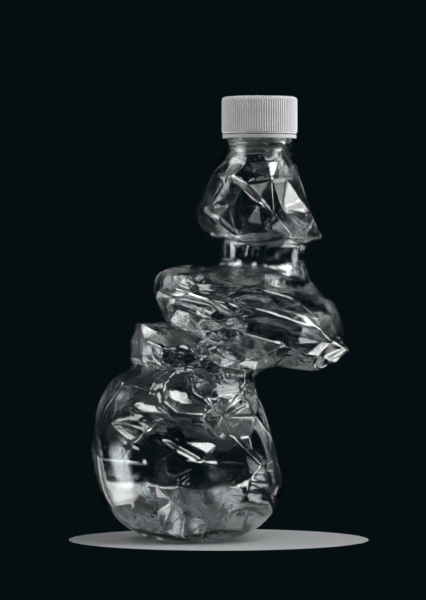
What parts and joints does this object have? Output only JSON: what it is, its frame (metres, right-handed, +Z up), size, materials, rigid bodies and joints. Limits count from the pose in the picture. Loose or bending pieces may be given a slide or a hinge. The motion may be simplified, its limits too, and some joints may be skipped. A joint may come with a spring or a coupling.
{
  "type": "crushed plastic bottle",
  "caption": "Clear thin-walled drink bottle, twisted and crushed into tilted folds, standing on its base with its ribbed screw cap on.",
  "frame": {"origin": "middle of the whole object's outline seen from above, at the level that the base rests on", "axes": "+Z up along the neck's axis, -Y to the front as pictured, +X to the right seen from the front"},
  "size_m": [0.1035, 0.0771, 0.1768],
  "materials": {
    "clear_pet": "clear, glossy, with fine crinkles and scuffs",
    "white_cap": "satin moulded plastic"
  },
  "bodies": {
    "bottle": {"bottle": "clear_pet", "tamper_band": "white_cap"},
    "cap": {"cap": "white_cap"}
  },
  "joints": [
    {"name": "cap_lift", "type": "slide", "parent": "bottle", "child": "cap", "axis": [0, 0, 1], "range_m": [0, 0.03]}
  ]
}
